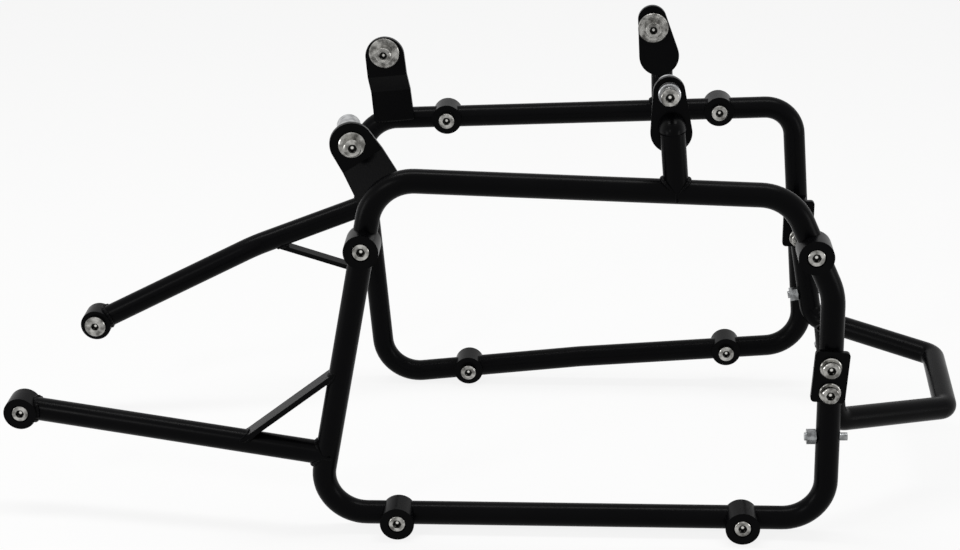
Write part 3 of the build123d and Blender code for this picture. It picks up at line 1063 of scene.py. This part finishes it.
@dataclass
class Hardware:
    """Screws, washers, nuts, spacers and studs, each with the finish of its own metal."""

    nodes: dict[str, bpy.types.Object]
    turned_group: str = "left_front_"
    turned_centre: tuple[float, float] = LEFT_TAB_HEAD
    turn: Turn = Turn(LEFT_TAB_HEAD[0], LEFT_TAB_FACE, LEFT_TAB_TURN)
    place_decimals: int = 3
    threads: tuple[ScrewThread, ...] = (
        ScrewThread("left_front_screw", (-103.0904, -68.0492, 301.2), LEFT_TAB_TURN),
        ScrewThread("left_upright_screw", (133.1, -111.2, 345.0)),
        ScrewThread("right_front_screw", (-92.7163, 122.8, 307.2848)),
        ScrewThread("right_upright_screw", (130.1, 134.8, 326.4)),
    )

    def finish_of(self, name: str) -> TurnedMetal | None:
        """Chooses the bare metal of a node.

        Args:
            name: The node's name.

        Returns:
            The metal, or None for a coated node.
        """
        if "spacer" in name or "collar" in name:
            return ALUMINIUM
        if "nut" in name or "stud" in name:
            return ZINC
        if "screw" in name or "washer" in name:
            return STAINLESS
        return None

    def centres(self, node: bpy.types.Object) -> list[tuple[float, float]]:
        """Finds the axes of a node's separate copies.

        Corners at one place share a number, every triangle's corners take the lowest number among
        them until nothing changes, and an axis is the middle of the box round the corners with one
        number.

        Args:
            node: A node of turned pieces along Y.

        Returns:
            The axes, as x and z in millimetres.
        """
        places = np.empty(len(node.data.vertices) * 3)
        node.data.vertices.foreach_get("co", places)
        node.data.calc_loop_triangles()
        corners = np.empty(len(node.data.loop_triangles) * 3, dtype=int)
        node.data.loop_triangles.foreach_get("vertices", corners)
        rounded = np.round(places.reshape(-1, 3) / MM, self.place_decimals)
        spots, shared = np.unique(rounded, axis=0, return_inverse=True)
        triangles = shared.reshape(-1)[corners].reshape(-1, 3)
        number = np.arange(len(spots))
        while True:
            lowest = number.copy()
            np.minimum.at(lowest, triangles, number[triangles].min(axis=1, keepdims=True))
            if np.array_equal(lowest, number):
                break
            number = lowest
        groups = [spots[number == label] for label in np.unique(number)]
        middles = [(group.min(axis=0) + group.max(axis=0)) / 2.0 for group in groups]
        return [(float(middle[0]), float(middle[2])) for middle in middles]

    def metal(self, name: str, node: bpy.types.Object) -> bpy.types.Material | None:
        """Builds the bare metal of a node.

        Args:
            name: The node's name.
            node: The node.

        Returns:
            The metal, or None for a coated node.
        """
        finish = self.finish_of(name)
        if finish is None:
            return None
        # Screws get painted shade in their key sockets and painted highlights at their centres
        socket = "screw" in name
        if name.startswith(self.turned_group):
            return finish.material(name, [self.turned_centre], self.turn, socket)
        return finish.material(name, self.centres(node), None, socket)

    def dress(self, coat: bpy.types.Material) -> None:
        """Puts a material on every CAD node, and a thread on each mounting screw.

        Args:
            coat: Coat of the tubes and plates.
        """
        for name, node in self.nodes.items():
            material = self.metal(name, node) or coat
            node.data.materials.clear()
            node.data.materials.append(material)
            log.info("dressed %s with %s", name, material.name)
        for thread in self.threads:
            ridge = thread.build()
            ridge.data.materials.append(self.nodes[thread.screw].data.materials[0])
            log.info("threaded %s", thread.screw)


@dataclass(frozen=True)
class Lamp:
    """Softbox that faces the origin, on the floor under the frame, with its power in watts."""

    name: str
    place: tuple[float, float, float]
    size: tuple[float, float]
    power: float

    def hang(self) -> None:
        """Makes the lamp and turns it to the frame."""
        data = bpy.data.lights.new(self.name, "AREA")
        data.shape = "RECTANGLE"
        data.size = self.size[0] * MM
        data.size_y = self.size[1] * MM
        data.energy = self.power
        lamp = bpy.data.objects.new(self.name, data)
        lamp.location = Vector(self.place) * MM
        lamp.rotation_euler = (-lamp.location).to_track_quat("-Z", "Y").to_euler()
        bpy.context.scene.collection.objects.link(lamp)


@dataclass
class Studio:
    """Pale floor, soft lamps and a white surround, with the camera at the photograph's angle."""

    azimuth: float = 2.845
    elevation: float = 21.069
    roll: float = -0.524
    place: tuple[float, float, float] = (68.409, -1556.905, 755.613)
    lens: float = 78.0
    sensor: float = 36.0
    floor_width: float = 9000.0
    floor_gap: float = 0.3
    floor_tone: str = "#f2f2f1"
    floor_glow: float = 0.86
    ambient: float = 0.32
    seen_strength: float = 1.0
    lamps: tuple[Lamp, ...] = (
        Lamp("overhead_strip", (0.0, 150.0, 1700.0), (1800.0, 240.0), 18.0),
        Lamp("front_left_softbox", (-1200.0, -1400.0, 1300.0), (350.0, 350.0), 6.0),
        Lamp("left_low_softbox", (-1600.0, -600.0, 350.0), (500.0, 600.0), 6.0),
        Lamp("right_low_softbox", (1700.0, -550.0, 350.0), (500.0, 600.0), 5.0),
    )

    def camera(self) -> None:
        """Sets the camera at its place, looking along its azimuth and elevation, a little rolled.

        With azimuth a and elevation e it looks along (-sin a cos e, cos a cos e, -sin e), and the
        roll turns its right and its up about that direction.
        """
        a, e, r = radians(self.azimuth), radians(self.elevation), radians(self.roll)
        ahead = Vector((-sin(a) * cos(e), cos(a) * cos(e), -sin(e)))
        level = Vector((cos(a), sin(a), 0.0))
        above = level.cross(ahead)
        right = level * cos(r) + above * sin(r)
        up = above * cos(r) - level * sin(r)
        data = bpy.data.cameras.new("camera")
        data.sensor_fit = "HORIZONTAL"
        data.sensor_width = self.sensor
        data.lens = self.lens
        camera = bpy.data.objects.new("camera", data)
        turned = Matrix((right, up, -ahead)).transposed().to_4x4()
        camera.matrix_world = Matrix.Translation(Vector(self.place) * MM) @ turned
        bpy.context.scene.collection.objects.link(camera)
        bpy.context.scene.camera = camera

    def seen_directly(self, tree: bpy.types.NodeTree) -> bpy.types.NodeSocket:
        """Adds the test for rays that show the surround: camera, glossy and transmission rays.

        Args:
            tree: Node tree of the world or the floor.

        Returns:
            1 for such a ray, and 0 for any other.
        """
        path = add_node(tree, "ShaderNodeLightPath").outputs
        pair = add_node(
            tree,
            "ShaderNodeMath",
            {0: path["Is Camera Ray"], 1: path["Is Glossy Ray"]},
            operation="MAXIMUM",
        ).outputs[0]
        return add_node(
            tree,
            "ShaderNodeMath",
            {0: pair, 1: path["Is Transmission Ray"]},
            operation="MAXIMUM",
        ).outputs[0]

    def surround(self) -> None:
        """Makes the world: white where it is seen, and a low even light elsewhere."""
        world = bpy.data.worlds.new("studio")
        world.use_nodes = True
        tree = world.node_tree
        tree.nodes.clear()
        strength = add_node(
            tree,
            "ShaderNodeMapRange",
            {
                "Value": self.seen_directly(tree),
                "To Min": self.ambient,
                "To Max": self.seen_strength,
            },
        ).outputs[0]
        light = add_node(
            tree, "ShaderNodeBackground", {"Color": linear(WHITE), "Strength": strength}
        ).outputs[0]
        add_node(tree, "ShaderNodeOutputWorld", {"Surface": light})
        bpy.context.scene.world = world

    def floor(self, height: float) -> None:
        """Lays the floor just under the frame.

        Args:
            height: The frame's lowest point in metres.
        """
        half = self.floor_width / 2.0 * MM
        corners = np.array(((-1, -1), (1, -1), (1, 1), (-1, 1))) * half
        vertices = np.column_stack([corners, np.full(4, height - self.floor_gap * MM)])
        mesh = bpy.data.meshes.new("floor")
        mesh.from_pydata(vertices, [], [(0, 1, 2, 3)])
        floor = bpy.data.objects.new("floor", mesh)
        bpy.context.scene.collection.objects.link(floor)
        # To the eye: matt paint, near white where it is seen, with faint soft shadows
        material, tree = new_material("painted_floor_matt_white")
        matt = add_node(
            tree, "ShaderNodeBsdfDiffuse", {"Color": linear(self.floor_tone)}
        ).outputs[0]
        glow = add_node(tree, "ShaderNodeEmission", {"Color": linear(WHITE)}).outputs[0]
        share = add_node(
            tree,
            "ShaderNodeMath",
            {0: self.seen_directly(tree), 1: self.floor_glow},
            operation="MULTIPLY",
        ).outputs[0]
        shader = add_node(tree, "ShaderNodeMixShader", {0: share, 1: matt, 2: glow}).outputs[0]
        add_node(tree, "ShaderNodeOutputMaterial", {"Surface": shader})
        mesh.materials.append(material)
        floor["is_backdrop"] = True

    def build(self, height: float) -> None:
        """Sets up floor, lamps, surround and camera, and the plain view transform.

        Args:
            height: The frame's lowest point in metres.
        """
        self.floor(height)
        for lamp in self.lamps:
            lamp.hang()
        self.surround()
        self.camera()
        bpy.context.scene.view_settings.view_transform = "Standard"


def left_rack() -> SideRack:
    """Sets the sizes of the left rack, whose arm and brace are placed up the front post.

    Returns:
        The rack.
    """
    plane = -138.5
    corners = [(-77.9, 281.5), (-128.9, 13.0), (258.1, 13.0), (255.6, 196.0), (221.6, 271.0)]
    arm_up_post, brace_up_post, brace_along_arm = 50.0, 122.8, 69.1
    top_front, low_front = (np.array((x, plane, z)) for x, z in corners[:2])
    root = toward(low_front, top_front, arm_up_post)
    tip = np.array((-360.9, plane + 40.5, 79.8))
    brace_low = toward(root, tip, brace_along_arm)
    brace_high = toward(low_front, top_front, brace_up_post)
    return SideRack(
        side="left",
        plane=plane,
        corners=corners,
        radii=[35.0, 32.0, 32.0, 46.0, 35.0],
        arm_route=[tuple(root), tuple(tip)],
        brace_ends=(tuple(brace_low), tuple(brace_high)),
        brace_width=17.5,
        upright_foot=(139.6, 273.9),
        upright_top=(135.8, 318.0),
        plate_side=1.0,
    )


def right_rack() -> SideRack:
    """Sets the sizes of the right rack, whose arm and brace are placed down the front post.

    Returns:
        The rack.
    """
    plane = 141.5
    corners = [(-118.9, 242.5), (-99.98, 5.69), (72.04, 24.07), (267.46, 39.11), (249.6, 255.5)]
    arm_down_post, brace_down_post, brace_along_arm = 77.0, 142.0, 93.8
    top_front, low_front = (np.array((x, plane, z)) for x, z in corners[:2])
    root = toward(top_front, low_front, arm_down_post)
    knee = np.array((-205.9, plane - 45.0, 143.0))
    tip = np.array((-339.9, plane - 69.0, 81.9))
    brace_low = toward(root, knee, brace_along_arm)
    brace_high = toward(top_front, low_front, brace_down_post)
    return SideRack(
        side="right",
        plane=plane,
        corners=corners,
        radii=[32.0, 32.0, 60.0, 32.0, 25.0],
        arm_route=[tuple(root), tuple(knee), tuple(tip)],
        brace_ends=(tuple(brace_low), tuple(brace_high)),
        brace_width=10.0,
        upright_foot=(139.9, 251.6),
        upright_top=(137.9, 306.0),
        plate_side=-1.0,
    )


def main() -> None:
    """Builds the dressed frame and its studio."""
    logging.basicConfig(level=logging.INFO, format="%(message)s")
    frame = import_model()
    cad_low, cad_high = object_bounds()
    coat = PowderCoat().material()
    left, right = left_rack(), right_rack()
    caps = [
        PostCap(rack.side, rack.plane, rack.upright_top, rack.plate_side) for rack in (left, right)
    ]
    builders = [left, right, FlatTab(), SlantedTab(left.hoop()), *caps]
    beads = [bead for builder in builders for bead in builder.build()]
    for bead in beads:
        bead.data.materials.append(coat)
        log.info("welded %s", bead.name)
    Hardware(frame["nodes"]).dress(coat)
    Studio().build(cad_low.z)


if __name__ == "__main__":
    main()
